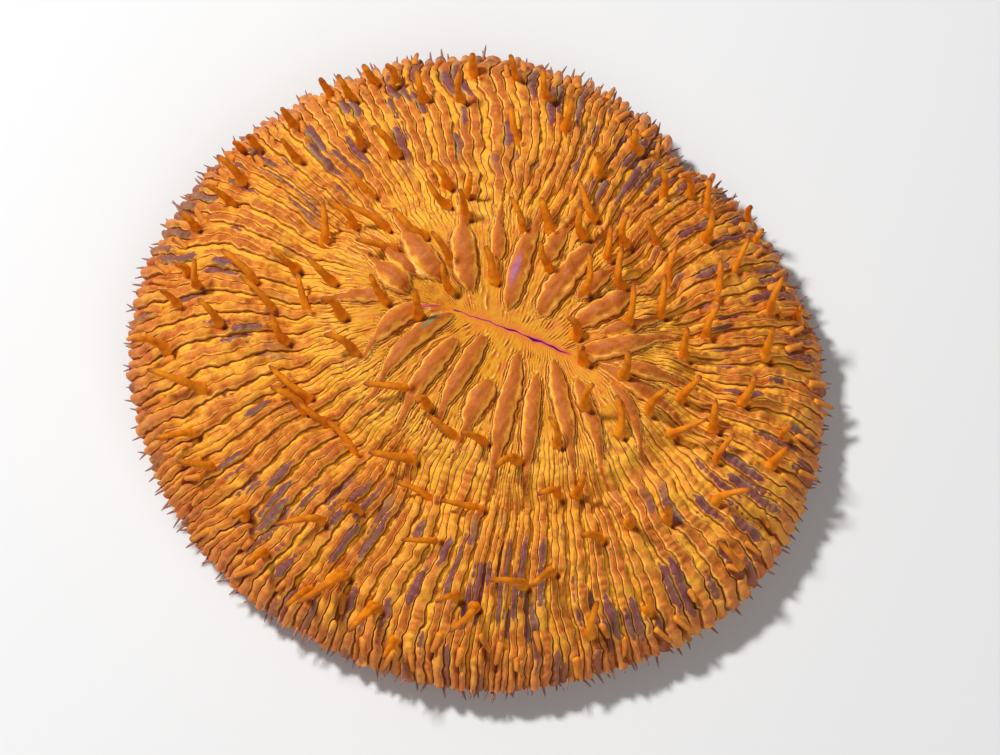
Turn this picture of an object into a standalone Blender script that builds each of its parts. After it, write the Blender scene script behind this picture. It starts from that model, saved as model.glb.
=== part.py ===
"""Mushroom coral: a free-living stony coral, one polyp on one ridged disc, alive and with its flesh out.

The disc lies on its flat underside, with +Z up and the middle of its bounding box on the origin.
The mouth is a slit near the top of a low mound. Lobes and ridges spread from it to the rim, short
tentacles stand on them, and ribs run back under the rim to the flat part that it rests on.
"""

import math

import bmesh
import bpy
import numpy as np
from mathutils import Vector

MM = 0.001  # every size below is in millimetres

# The rim from above: how far the ridge ends reach, every 22.5 degrees counterclockwise from +X
RIM_REACH = (37.5, 35.3, 34.2, 35.7, 37.2, 37.4, 37.8, 38.6, 38.3, 36.8, 35.7, 35.0, 35.7, 36.3, 38.1, 38.2)
RIM_CENTRE = (0.41, -0.75)  # brings the middle of the bounding box to the origin
NOTCH_BEARING, NOTCH_HALF_WIDTH, NOTCH_DEPTH = 46.5, 4.0, 1.6

# The mouth, measured from the middle of the rim
MOUTH_CENTRE = (3.3, 1.8)
MOUTH_BEARING = -20.9
MOUTH_HALF_LENGTH = 6.4
LIP_HALF_WIDTH = 0.45
THROAT_DEPTH = 3.6

# Height of the bare surface over the underside, by share of the way from the lips to the rim
HEIGHT_SHARES = (0.0, 0.07, 0.18, 0.30, 0.42, 0.50, 0.60, 0.74, 0.87, 0.95, 1.0)
HEIGHTS = (11.2, 12.0, 13.0, 12.7, 11.0, 10.2, 10.0, 8.8, 7.0, 5.4, 3.5)

# Ridges in three cycles: every fourth starts at the mouth, the rest part way out
RIDGES = 144
FIRST_CYCLE_STEP = 4
UNEVEN_SPACING = ((3, 0.0075, 0.6), (5, 0.005, 2.1), (11, 0.0022, 4.0))  # waves a turn, share of a turn, phase
LOBE_START, LOBE_END = 0.09, 0.43
SECOND_CYCLE_START, THIRD_CYCLE_START = 0.47, 0.68
RIDGE_HALF_WIDTH, LOBE_EXTRA_HALF_WIDTH = 0.62, 0.45
RIDGE_HEIGHT, LOBE_EXTRA_HEIGHT = 1.0, 1.1
RIM_TOOTH = 1.2  # how much further a ridge's end reaches than the valley beside it

# Rows of the upper side, from the lips to the rim
INNER_ROWS = (0.10, 0.15, 0.21, 0.28, 0.35, 0.42, 0.49, 0.57, 0.66)
OUTER_ROWS = (0.76, 0.88, 0.96, 1.0)

# Rows of the underside: share of the rim's reach, height, ridges between columns, depth of the ribs
UNDER_ROWS = ((0.955, 2.6, 0.5, 0.6), (0.87, 1.7, 0.5, 0.7), (0.77, 1.0, 1, 0.5), (0.66, 0.0, 2, 0.0))

# Feet of the tentacles, as (x, y) from the middle of the rim
TENTACLE_FEET = (
    (30, 0), (24, 2), (15.5, 2.5), (31, 5.5), (19, 4), (25, 6), (27, 9.5), (20, 8), (15, 7), (11, 6),
    (24, 13), (19, 12), (24.5, 16.5), (13.5, 10), (15.5, 12), (22.5, 18.5), (19.5, 18), (7.5, 8.5),
    (11, 12.5), (12, 15), (17, 23.5), (12.5, 20), (7.5, 13), (4.5, 13), (9, 25.5), (7.5, 29.5), (1.5, 7.5),
    (4, 24), (4, 32), (-2, 29), (-0.5, 18), (-1.5, 14.5), (-3.5, 20), (-3, 10), (-9, 23), (-13.5, 30),
    (-6.5, 13), (-3, 6), (-13, 24), (-12, 18.5), (-10, 14.5), (-9, 11), (-20, 22), (-14, 14), (-25.5, 20),
    (-17, 12), (-27, 17.5), (-6.5, 3.5), (-10, 5.5), (-16, 8), (-20, 9.5), (-24, 8), (-14.5, 3.5),
    (-18.5, 4.5), (-22.5, 5), (-27.5, 3), (-20.5, 1.5), (-33, 1), (-13, -0.5), (-28.5, -3.5), (-18, -3.5),
    (-30, -8), (-19, -6.5), (-28, -11.5), (-15.5, -8), (-7.5, -4.5), (-13, -11), (-16.5, -18), (-14, -24),
    (-7, -12), (-10.5, -27), (-5, -15.5), (-2.5, -9), (-4.5, -20), (-2.5, -26), (1, -27.5), (0.5, -16.5),
    (1, -10.5), (4.5, -25), (8, -23.5), (4, -12), (11.5, -29.5), (7.5, -16.5), (12.5, -20.5), (8, -10),
    (27, -22), (14.5, -9.5), (24.5, -16.5), (10.5, -6.5), (25, -11.5), (20, -9), (17, -6.5), (30.5, -11),
    (24, -7.5), (21, -5), (15, -3.5), (28, -5), (21.5, -0.5),
)
TENTACLE_LENGTH = (4.2, 5.6)  # shortest and longest
TENTACLE_FOOT_RADIUS, TENTACLE_WAIST_RADIUS = 0.85, 0.56
TENTACLE_WAIST = 0.62  # share of its length
DRIFT = (-0.35, 0.35)  # how the water leans every tentacle
OUTWARD_LEAN, LIFT = 0.7, 0.85

FLESH_COLOUR = (0.80, 0.30, 0.02, 1.0)


def smooth_through(knots, values, at):
    """A smooth curve through the values at the knots, read at the given places."""
    knots, values = np.asarray(knots, float), np.asarray(values, float)
    slopes = np.gradient(values, knots)
    left = np.clip(np.searchsorted(knots, at) - 1, 0, len(knots) - 2)
    gap = knots[left + 1] - knots[left]
    t = (at - knots[left]) / gap
    return (
        (1 + 2 * t) * (1 - t) ** 2 * values[left]
        + t * (1 - t) ** 2 * gap * slopes[left]
        + t**2 * (3 - 2 * t) * values[left + 1]
        - t**2 * (1 - t) * gap * slopes[left + 1]
    )


def ramp(at, start, length):
    """0 before start, 1 a length further on, and smooth between."""
    t = np.clip((at - start) / length, 0, 1)
    return t * t * (3 - 2 * t)


def rim_reach(bearing):
    """How far the rim is from its middle at a bearing in degrees."""
    step = 360 / len(RIM_REACH)
    values = RIM_REACH[-3:] + RIM_REACH + RIM_REACH[:4]
    knots = step * (np.arange(len(values)) - 3)
    away = (bearing - NOTCH_BEARING + 180) % 360 - 180
    notch = NOTCH_DEPTH * np.exp(-((away / NOTCH_HALF_WIDTH) ** 2))
    return smooth_through(knots, values, bearing % 360) - notch


def turn_angle(ridge):
    """The angle in radians, from the mouth's own line, at which a ridge leaves. Ridges are unevenly spaced."""
    turn = ridge / RIDGES
    shift = sum(size * np.sin(2 * math.pi * waves * turn + phase) for waves, size, phase in UNEVEN_SPACING)
    return 2 * math.pi * (turn + shift)


def lip_point(ridge, half_length, half_width):
    """Points of an ellipse along the mouth."""
    angle, tilt = turn_angle(ridge), math.radians(MOUTH_BEARING)
    along, across = half_length * np.cos(angle), half_width * np.sin(angle)
    x = RIM_CENTRE[0] + MOUTH_CENTRE[0] + along * math.cos(tilt) - across * math.sin(tilt)
    y = RIM_CENTRE[1] + MOUTH_CENTRE[1] + along * math.sin(tilt) + across * math.cos(tilt)
    return x, y


def rim_point(ridge, share=1.0, tooth=0.0):
    """Points of the rim, or of the same outline drawn in to a share of its reach."""
    bearing = MOUTH_BEARING + np.degrees(turn_angle(ridge))
    reach = share * (rim_reach(bearing) - tooth)
    x = RIM_CENTRE[0] + reach * np.cos(np.radians(bearing))
    y = RIM_CENTRE[1] + reach * np.sin(np.radians(bearing))
    return x, y


def ground_point(ridge, share):
    """Straight lines from the lips to the rim, which the ridges follow."""
    from_x, from_y = lip_point(ridge, MOUTH_HALF_LENGTH, LIP_HALF_WIDTH)
    valley = np.abs(ridge - np.round(ridge)) * 2
    to_x, to_y = rim_point(ridge, tooth=RIM_TOOTH * valley * ramp(share, 0.9, 0.1))
    return from_x + (to_x - from_x) * share, from_y + (to_y - from_y) * share


def ridge_relief(ridge, share):
    """Height of the lobes and ridges over the bare surface, where ridge is a place in ridge spacings."""
    step = 0.01
    x, y = ground_point(ridge, share)
    next_x, next_y = ground_point(ridge + step, share)
    spacing = np.hypot(next_x - x, next_y - y) / step
    relief = np.zeros_like(ridge)
    cycles = ((0, FIRST_CYCLE_STEP, LOBE_START), (2, FIRST_CYCLE_STEP, SECOND_CYCLE_START), (1, 2, THIRD_CYCLE_START))
    for first, every, start in cycles:
        crest = first + every * np.round((ridge - first) / every)
        number = crest.astype(int) % RIDGES
        start_here = start + STARTS[number] * (1 if first else 0.4)
        lobe = ramp(share, start_here, 0.10) * (1 - ramp(share, LOBE_END + STARTS[number] - 0.08, 0.12))
        lobe = lobe * LOBES[number] if first == 0 else np.zeros_like(ridge)
        half_width = RIDGE_HALF_WIDTH + LOBE_EXTRA_HALF_WIDTH * lobe
        height = RIDGE_HEIGHT * SIZES[number] + LOBE_EXTRA_HEIGHT * lobe
        across = np.abs(ridge - crest) * spacing / half_width
        relief = np.maximum(relief, height * ramp(share, start_here, 0.08) * (1 - ramp(across, 0.55, 0.75)))
    return relief * (1 - 0.55 * ramp(share, 0.93, 0.07))


def top_row(share, ridge):
    """One row of the upper side, as an array of points in metres."""
    x, y = ground_point(ridge, share)
    z = smooth_through(HEIGHT_SHARES, HEIGHTS, share) + ridge_relief(ridge, share)
    return np.stack([x, y, z], axis=1) * MM


def under_row(share, height, ridge, rib):
    """One row of the underside, with ribs that run on from every second column."""
    x, y = rim_point(ridge, share)
    lower = np.arange(len(ridge)) % 2 == 0
    return np.stack([x, y, height - rib * lower], axis=1) * MM


def throat_row(share, depth, ridge):
    """One row of the mouth's inner wall."""
    x, y = lip_point(ridge, MOUTH_HALF_LENGTH * share, LIP_HALF_WIDTH * share)
    return np.stack([x, y, np.full(len(ridge), HEIGHTS[0] - depth)], axis=1) * MM


def columns(every):
    """Places of the columns, in ridge spacings."""
    return np.arange(0, RIDGES, every, dtype=float)


def body_rows():
    """Every row of the closed disc, from the floor of the mouth over the rim to the flat underside.

    Beside each row is the step between its columns that run along a crest, or 0 where none may carry a tentacle.
    """
    rows = [(throat_row(0.75, THROAT_DEPTH, columns(4)), 0), (throat_row(0.92, 1.2, columns(4)), 0)]
    rows += [(top_row(0.0, columns(4)), 0), (top_row(0.05, columns(2)), 0)]
    rows += [(top_row(share, columns(1)), 4 if share < SECOND_CYCLE_START else 2) for share in INNER_ROWS]
    rows += [(top_row(share, columns(0.5)), 2 if share < 0.9 else 0) for share in OUTER_ROWS]
    rows += [(under_row(share, height, columns(every), rib), 0) for share, height, every, rib in UNDER_ROWS]
    return rows


def bridge(mesh, first, second):
    """Faces between two closed rows of vertices, where the second has as many, twice as many or half as many."""
    if len(second) < len(first):
        pairs = bridge_pairs(second, first)
        pairs = [tuple(reversed(face)) for face in pairs]
    else:
        pairs = bridge_pairs(first, second)
    for face in pairs:
        mesh.faces.new(face)


def bridge_pairs(coarse, fine):
    """The faces between a row and one of as many or twice as many vertices."""
    count, faces = len(coarse), []
    for i in range(count):
        here, following = coarse[i], coarse[(i + 1) % count]
        if len(fine) == count:
            faces.append((here, fine[i], fine[(i + 1) % count], following))
            continue
        left, middle, right = fine[2 * i], fine[2 * i + 1], fine[(2 * i + 2) % len(fine)]
        faces += [(here, left, middle), (here, middle, following), (following, middle, right)]
    return faces


def make_body():
    """The disc as one closed mesh, and the vertices along its crests."""
    mesh, rings, crests = bmesh.new(), [], []
    for points, crest_step in body_rows():
        rings.append([mesh.verts.new(point) for point in points])
        crests += rings[-1][::crest_step] if crest_step else []
    for first, second in zip(rings, rings[1:]):
        bridge(mesh, first, second)
    mesh.faces.new(rings[0])
    mesh.faces.new(reversed(rings[-1]))
    bmesh.ops.recalc_face_normals(mesh, faces=mesh.faces)
    return mesh, crests


def take_crest(crests, x, y):
    """The free crest vertex nearest to a place. It and those beside it are no longer free."""
    nearest = min(crests, key=lambda vertex: math.hypot(vertex.co.x - x * MM, vertex.co.y - y * MM))
    beside = {vertex for face in nearest.link_faces for vertex in face.verts}
    crests[:] = [vertex for vertex in crests if vertex not in beside]
    return nearest


def grow_tentacle(mesh, vertex, lean, length):
    """Opens a vertex into a small foot, draws it up to a waist and closes it in a tip that bends over."""
    cut = bmesh.ops.bevel(
        mesh,
        geom=[vertex],
        offset=TENTACLE_FOOT_RADIUS * MM,
        offset_type="OFFSET",
        segments=1,
        profile=0.5,
        affect="VERTICES",
        clamp_overlap=True,
    )
    foot = cut["faces"][0]
    base = foot.calc_center_median()
    corners = [corner.co - base for corner in foot.verts]
    waist = base + length * TENTACLE_WAIST * (0.55 * lean + Vector((0, 0, LIFT)))
    tip = base + length * (0.85 * lean + Vector((0, 0, 0.8 * LIFT)))
    axis = (tip - base).normalized()
    top = bmesh.ops.extrude_discrete_faces(mesh, faces=[foot])["faces"][0]
    for vertex, corner in zip(top.verts, corners):
        outward = corner - corner.project(axis)
        vertex.co = waist + outward.normalized() * TENTACLE_WAIST_RADIUS * MM
    bmesh.ops.poke(mesh, faces=[top])["verts"][0].co = tip


def grow_tentacles(mesh, crests):
    """All the tentacles, each on the crest nearest to its foot."""
    for place, (x, y) in enumerate(TENTACLE_FEET):
        vertex = take_crest(crests, x + RIM_CENTRE[0], y + RIM_CENTRE[1])
        outward = Vector((x, y, 0)).normalized() * OUTWARD_LEAN
        lean = outward + Vector((*DRIFT, 0)) + Vector((*JITTER[place], 0))
        stretch = LIFT / math.hypot(LIFT, lean.length)
        length = float(np.interp(LENGTH_SHARES[place], (0, 1), TENTACLE_LENGTH))
        grow_tentacle(mesh, vertex, lean, length * stretch * MM)


def flesh_material():
    """Orange living flesh over the skeleton."""
    material = bpy.data.materials.new("coral flesh")
    material.use_nodes = True
    surface = material.node_tree.nodes["Principled BSDF"]
    surface.inputs["Base Color"].default_value = FLESH_COLOUR
    surface.inputs["Roughness"].default_value = 0.45
    surface.inputs["Metallic"].default_value = 0.0
    return material


for old in list(bpy.data.objects):
    bpy.data.objects.remove(old)

rng = np.random.default_rng(36)
STARTS = rng.uniform(-0.06, 0.06, RIDGES)  # each ridge starts a little early or late
SIZES = rng.uniform(0.75, 1.15, RIDGES)
LOBES = rng.uniform(0.35, 1.0, RIDGES)
JITTER = rng.uniform(-0.15, 0.15, (len(TENTACLE_FEET), 2))
LENGTH_SHARES = rng.uniform(0, 1, len(TENTACLE_FEET))

shape, crest_vertices = make_body()
grow_tentacles(shape, crest_vertices)
data = bpy.data.meshes.new("mushroom_coral")
shape.to_mesh(data)
coral = bpy.data.objects.new("mushroom_coral", data)
bpy.context.scene.collection.objects.link(coral)
coral.data.materials.append(flesh_material())
coral.data.shade_smooth()
coral.data.set_sharp_from_angle(angle=math.radians(50))
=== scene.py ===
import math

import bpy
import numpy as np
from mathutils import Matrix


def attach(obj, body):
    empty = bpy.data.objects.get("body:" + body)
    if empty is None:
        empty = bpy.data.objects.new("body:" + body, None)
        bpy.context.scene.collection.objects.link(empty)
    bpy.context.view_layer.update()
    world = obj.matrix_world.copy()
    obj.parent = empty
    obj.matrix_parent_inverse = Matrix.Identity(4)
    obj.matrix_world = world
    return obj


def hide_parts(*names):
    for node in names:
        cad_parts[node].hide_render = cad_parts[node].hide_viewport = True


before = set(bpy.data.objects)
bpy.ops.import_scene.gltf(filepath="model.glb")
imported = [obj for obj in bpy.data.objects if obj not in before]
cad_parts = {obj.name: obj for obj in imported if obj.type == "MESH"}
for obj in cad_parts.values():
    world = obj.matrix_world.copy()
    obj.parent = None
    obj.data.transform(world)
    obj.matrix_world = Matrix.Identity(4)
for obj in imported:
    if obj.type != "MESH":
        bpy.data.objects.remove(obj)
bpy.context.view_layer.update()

# A living mushroom coral: one domed polyp with a slit mouth, swollen lobes, ridges out to the rim,
# tentacles, thin rim spikes, and a ribbed underside with a flat middle.
# Lengths in the settings are millimetres. A place on the coral is given as
#   turn   position round the mouth in ridge spacings, 0 to 144, counterclockwise from the mouth's right end
#   share  0 at the lips, 1 at the rim

mm = 0.001
random = np.random.default_rng(36)
print("frame loaded")

coralForm = {
    # how far the ridge ends reach from the middle, every 22.5 degrees counterclockwise from +X
    "rimReach": (
        37.5, 35.3, 34.2, 35.7, 37.2, 37.4, 37.8, 38.6, 38.3, 36.8, 35.7, 35.0, 35.7, 36.3, 38.1, 38.2,
    ),
    "centre": (0.41, -0.75),
    "notch": {"bearing": 46.5, "halfWidth": 4.0, "depth": 1.6},
    "mouthCentre": (3.3, 1.8),
    "mouthBearing": -20.9,
    "mouthHalfLength": 6.7,
    "mouthBow": (0.12, 0.22, 0.25),  # sideways shift of the slit: all of it, its middle, its left end
    "lipWaves": ((1.9, 0.05, 0.6), (4.3, 0.035, 0.0)),  # pitch, size and phase of the slit's small waves
    # parts of the slit that gape: place along it from -1 to 1, half length of the part, half width in mm
    "lipGapes": (
        (-0.94, 0.06, 0.16), (-0.55, 0.20, 0.02), (-0.02, 0.12, 0.07), (0.39, 0.11, 0.13), (0.76, 0.18, 0.10),
    ),
    "lipHalfWidth": 0.03,
    "throatDepth": 3.0,
    "heightShares": (0.0, 0.04, 0.10, 0.19, 0.30, 0.41, 0.48, 0.56, 0.66, 0.76, 0.87, 0.95, 1.0),
    "heights": (11.3, 11.7, 12.3, 13.0, 12.8, 11.6, 10.3, 9.9, 9.6, 8.7, 7.0, 5.3, 3.6),
    "ridges": 144,
    "unevenSpacing": ((3, 0.0075, 0.6), (5, 0.005, 2.1), (11, 0.0022, 4.0)),  # waves a turn, size, phase
}


# A smooth curve through values at knots: cubic pieces whose slopes are those of the neighbours.
def smoothThrough(knots, values, at):
    knots, values = np.asarray(knots, float), np.asarray(values, float)
    slopes = np.gradient(values, knots)
    left = np.clip(np.searchsorted(knots, at) - 1, 0, len(knots) - 2)
    gap = knots[left + 1] - knots[left]
    t = (at - knots[left]) / gap
    start = (1 + 2 * t) * (1 - t) ** 2 * values[left] + t * (1 - t) ** 2 * gap * slopes[left]
    return start + t**2 * (3 - 2 * t) * values[left + 1] - t**2 * (1 - t) * gap * slopes[left + 1]


# 0 before start, 1 a length further on, smooth between: 3t^2 - 2t^3.
def ramp(at, start, length):
    t = np.clip((at - start) / length, 0, 1)
    return t * t * (3 - 2 * t)


# The sum of a few sines of given wave lengths, with the amplitudes falling as the waves get shorter.
def waves(at, lengths, phases):
    total = sum(length * np.sin(2 * math.pi * at / length + phase) for length, phase in zip(lengths, phases))
    return total / sum(lengths)


# 1 in the middle, falling to both sides: e^-(away / width)^2.
def bell(away, width):
    return np.exp(-((away / width) ** 2))


# A difference of places on a ring, taken the short way round.
def around(away, whole=360):
    return (away + whole / 2) % whole - whole / 2


# A soft random surface of about unit height: plane waves of random direction, length and phase, added up.
def ripples(x, y, length, count=14):
    total = 0
    for direction, stretch, phase in random.uniform((0, 0.7, 0), (6.28, 1.4, 6.28), (count, 3)):
        ahead = x * np.cos(direction) + y * np.sin(direction)
        total = total + np.cos(6.283 * ahead / (length * stretch) + phase)
    return total * math.sqrt(2 / count)


# Reach of the rim at a bearing in degrees: the smooth outline less a bell-shaped notch.
def rimReach(bearing):
    reach, notch = coralForm["rimReach"], coralForm["notch"]
    values = reach[-3:] + reach + reach[:4]
    knots = 22.5 * (np.arange(len(values)) - 3)
    cut = notch["depth"] * bell(around(bearing - notch["bearing"]), notch["halfWidth"])
    return smoothThrough(knots, values, bearing % 360) - cut


# Angle from the mouth's line at which a turn leaves: an even turn plus three small waves.
def turnAngle(turn):
    part, uneven = turn / coralForm["ridges"], coralForm["unevenSpacing"]
    shift = sum(size * np.sin(2 * math.pi * count * part + phase) for count, size, phase in uneven)
    return 2 * math.pi * (part + shift)


# The same as a bearing from +X, in radians.
def bearingAt(turn):
    return math.radians(coralForm["mouthBearing"]) + turnAngle(turn)


# Half width of the slit: a thin line plus a bell for each part that gapes.
def lipWidth(turn):
    place = np.cos(turnAngle(turn))
    gapes = sum(wide * bell(place - middle, reach) for middle, reach, wide in coralForm["lipGapes"])
    return coralForm["lipHalfWidth"] + gapes


# An ellipse along the mouth, bowed and slightly waved.
def lipPoint(turn, halfLength, halfWidth):
    angle, tilt = turnAngle(turn), math.radians(coralForm["mouthBearing"])
    along, across = halfLength * np.cos(angle), halfWidth * np.sin(angle)
    shift, middle, end = coralForm["mouthBow"]
    across = across + shift + middle * np.sin(angle) ** 2 + end * (1 - np.cos(angle)) / 2
    for pitch, size, phase in coralForm["lipWaves"]:
        across = across + size * np.sin(pitch * along + phase)
    mouthX, mouthY = np.add(coralForm["centre"], coralForm["mouthCentre"])
    x = mouthX + along * math.cos(tilt) - across * math.sin(tilt)
    y = mouthY + along * math.sin(tilt) + across * math.cos(tilt)
    return x, y


# The place at a distance and a bearing from the middle of the rim.
def fromMiddle(reach, bearing):
    return coralForm["centre"][0] + reach * np.cos(bearing), coralForm["centre"][1] + reach * np.sin(bearing)


# Straight lines from the lips to the rim, whose outline is drawn in by a distance.
def groundPoint(turn, share, drawnIn=0.0):
    fromX, fromY = lipPoint(turn, coralForm["mouthHalfLength"], lipWidth(turn))
    bearing = bearingAt(turn)
    toX, toY = fromMiddle(rimReach(np.degrees(bearing)) - drawnIn, bearing)
    return fromX + (toX - fromX) * share, fromY + (toY - fromY) * share


# Length of such a line.
def lineLength(turn):
    rimX, rimY = groundPoint(turn, 1.0)
    lipX, lipY = groundPoint(turn, 0.0)
    return np.hypot(rimX - lipX, rimY - lipY)


lobeForm = {
    # turn and share of the inner end, turn and share of the outer end, half width
    "places": (
        (6.0, 0.05, 9.5, 0.34, 1.00), (13.5, 0.17, 14.0, 0.33, 0.75), (19.0, 0.11, 19.0, 0.36, 1.05),
        (24.5, 0.20, 24.0, 0.36, 0.80), (30.5, 0.08, 29.2, 0.42, 1.10), (34.6, 0.25, 33.6, 0.39, 0.85),
        (40.5, 0.06, 38.7, 0.35, 0.95), (43.6, 0.19, 43.2, 0.31, 0.75), (49.1, 0.08, 47.6, 0.30, 1.20),
        (56.6, 0.12, 56.2, 0.33, 1.15), (63.0, 0.17, 62.0, 0.30, 0.80), (71.0, 0.15, 68.0, 0.28, 1.05),
        (75.5, 0.21, 77.0, 0.33, 0.80), (79.4, 0.10, 86.0, 0.27, 0.95), (85.0, 0.03, 93.0, 0.31, 0.90),
        (96.0, 0.10, 98.6, 0.35, 0.90), (101.0, 0.05, 103.0, 0.29, 0.90), (107.6, 0.17, 107.4, 0.31, 1.05),
        (111.6, 0.06, 112.3, 0.38, 0.85), (119.6, 0.11, 119.0, 0.38, 0.75), (126.0, 0.05, 126.4, 0.33, 0.85),
        (132.6, 0.12, 131.0, 0.37, 0.75), (138.6, 0.19, 136.0, 0.39, 0.70), (142.0, 0.12, 141.4, 0.40, 0.75),
        (1.6, 0.20, 2.6, 0.38, 0.70),
    ),
    "height": 1.45,
    "lastShare": 0.56,  # where the longest tail has ended
    "fullness": 1.1,
    "skew": (0.75, 1.1),  # below 1 a lobe is widest nearer the mouth
    "edgeWaves": 0.06,
    "tail": {"halfWidth": 0.40, "height": 0.95, "length": 0.11},
    "moat": {"depth": 0.06, "shadedDepth": 0.20, "away": 0.13, "halfWidth": 0.09},
    "ringPitch": 8.4,
    "ringDepth": 0.30,
}

ridgeForm = {
    # every third ridge is a long one, then a small late one, then a middling one
    "count": 216,
    "starts": ((0.30, 0.42), (0.74, 0.92), (0.42, 0.56)),  # ranges of the shares at which they rise
    "riseLength": 0.09,
    "sizes": (0.80, 1.20),  # each ridge's own factor on its width
    "widths": (1.12, 0.84, 1.0),
    "floorWidths": (0.85, 0.70, 0.78),  # what they measure before they rise
    "floorLevels": (0.05, 0.36, 0.28),
    "height": 1.10,
    "humps": 0.20,
    "scallopLengths": (0.8, 1.25, 2.0, 3.1),
    "scallopDepth": 0.19,  # as a share of the ridge's cell
    "crestSwing": 0.06,
    "wander": ((8.0, 0.07, 0.31), (13.0, 0.13, -0.17), (21.0, 0.22, 0.09)),  # length, size, change per ridge
    # where the grid's columns lie across a ridge
    "columnPlaces": (-1.0, -0.92, -0.77, -0.44, 0.0, 0.44, 0.77, 0.92),
    "edgePlace": 0.88,  # where the pale edge line lies across a ridge
    "foldPlace": 0.77,
    "foldHeight": 0.22,
    "ringPitch": 8.4,
    "ringDepth": 0.15,
    "ringedSectors": ((104, 18, 1.0), (14, 13, 0.7)),  # turn, half width, strength
    "stain": {"lengths": (7.5, 12.0, 19.0), "swing": 2.1, "level": -0.62},  # above 0 a ridge is stained
    "plainSide": {"bearing": 192, "halfWidth": 24, "less": 0.60},  # the side with few stains
    "fingerReach": 0.8,  # how far a ridge's end stands out of the rim's grooves
    "spikeReach": 0.45,  # how far the rim spikes reach past the ridge ends
}


def ridgeGrid(shares):
    # Ridge m fills the cell between two grooves. The cell widths change as the ridges rise, are summed round the
    # coral and scaled to close the ring. A slow wander moves neighbouring grooves alike, and small waves scallop
    # each groove by itself. The columns of the grid follow the ridges, with a column in each groove.
    count, places, whole = ridgeForm["count"], np.array(ridgeForm["columnPlaces"]), coralForm["ridges"]
    number, sh = np.arange(count), shares[:, None]

    def pick(name):
        return np.array(ridgeForm[name])[number % 3]

    low, high = pick("starts").T
    start = low + (high - low) * random.uniform(0, 1, count)
    size = random.uniform(*ridgeForm["sizes"], count)
    rise = ramp(sh, start, ridgeForm["riseLength"])
    width = size * (pick("floorWidths") + (pick("widths") - pick("floorWidths")) * rise)
    cell = width / width.sum(axis=1, keepdims=True) * whole
    groove = np.cumsum(cell, axis=1) - cell[:, :1] / 2
    even = number * whole / count
    along = sh * lineLength(even)
    phases = random.uniform(0, 6.28, (26, 1, count))

    shift = sum(
        wide * np.sin(2 * math.pi * along / length + change * number + phase)
        for (length, wide, change), phase in zip(ridgeForm["wander"], random.uniform(0, 6.28, 3))
    ) * ramp(sh, 0.34, 0.2)
    # round the mound the grooves are drawn aside by what a lobe's end lies off an even turn
    lobeEnds = np.array(sorted(toTurn % whole for _, _, toTurn, _, _ in lobeForm["places"]))
    aside = np.interp(groove, lobeEnds, lobeEnds - 2 * np.round(lobeEnds / 2), period=whole)
    shift = shift + aside * (ramp(sh, 0.12, 0.15) * (1 - ramp(sh, 0.42, 0.16)))
    scallops = ridgeForm["scallopDepth"] * cell * waves(along, ridgeForm["scallopLengths"], phases[:4])
    right = groove + shift + scallops
    left = np.concatenate([right[:, -1:] - whole, right[:, :-1]], axis=1)
    middle = (left + right) / 2 + ridgeForm["crestSwing"] * cell * waves(along, (1.7, 3.1, 5.3), phases[4:7])
    halves = np.where(places < 0, (middle - left)[..., None], (right - middle)[..., None])
    turn = middle[..., None] + places * halves

    # Across a ridge the height is a rounded roll above a sharp groove, with a low fold along each shoulder that
    # comes and goes. Rings cross the ridges here and there, most of all below the mound's lower left.
    over = np.abs(places)
    foldLeft = np.clip(waves(along, (1.1, 2.3, 4.1), phases[6:9]) + 0.15, 0, 1)
    foldRight = np.clip(waves(along, (1.3, 2.1, 4.7), phases[16:19]), 0, 1)
    fold = np.where(places < 0, foldLeft[..., None], foldRight[..., None]) * (over == ridgeForm["foldPlace"])
    roll = 0.25 + 0.75 * np.sqrt(1 - np.minimum(over, 0.99) ** 2.6)
    profile = (roll + ridgeForm["foldHeight"] * fold) * (over < 0.99)
    level = pick("floorLevels") + (1 - pick("floorLevels")) * rise
    high = ridgeForm["height"] * level * (0.8 + 0.2 * size) * pick("widths") ** 0.6
    high = high * (1 + ridgeForm["humps"] * waves(along, (1.1, 1.9, 3.4), phases[9:12]))
    rings = ridgeForm["ringPitch"] * along + phases[12] + 1.5 * waves(along, (4.1, 7.7), phases[19:21])
    ringed = np.clip(0.05 + 1.3 * waves(along, (5.9, 9.7, 14.0), phases[21:24]), 0, 1) * ridgeForm["ringDepth"]
    sector = sum(strength * bell(even - at, reach) for at, reach, strength in ridgeForm["ringedSectors"])
    sector = sector * ramp(sh, 0.26, 0.06) * (1 - ramp(sh, 0.46, 0.10)) * ramp(np.sin(2.1 * number), 0.1, 0.5)
    high = high * (1 - (ringed + 0.5 * sector) * (0.5 + 0.5 * np.sin(rings)))

    stain, plain = ridgeForm["stain"], ridgeForm["plainSide"]
    fewer = plain["less"] * bell(around(np.degrees(bearingAt(even)) - plain["bearing"]), plain["halfWidth"])
    patch = stain["swing"] * waves(along, stain["lengths"], phases[13:16]) + stain["level"] - fewer

    def onGrid(values):
        return np.broadcast_to(values, turn.shape).reshape(len(shares), -1).copy()

    field = {
        "relief": onGrid(high[..., None] * profile), "band": onGrid(over / ridgeForm["edgePlace"]),
        "side": onGrid(places), "rise": onGrid(rise[..., None]), "along": onGrid(along[..., None]),
        "patch": onGrid(patch[..., None]), "rings": onGrid(rings[..., None]), "ringed": onGrid(sector[..., None]),
        "tone": onGrid(random.uniform(-1, 1, count)[:, None]), "finger": onGrid(size[:, None]),
        "ridge": onGrid(ramp(sh, 0.26, 0.10)[..., None]), "lobe": onGrid(0.0), "gap": onGrid(9.0),
    }
    return turn.reshape(len(shares), -1), field


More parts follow.
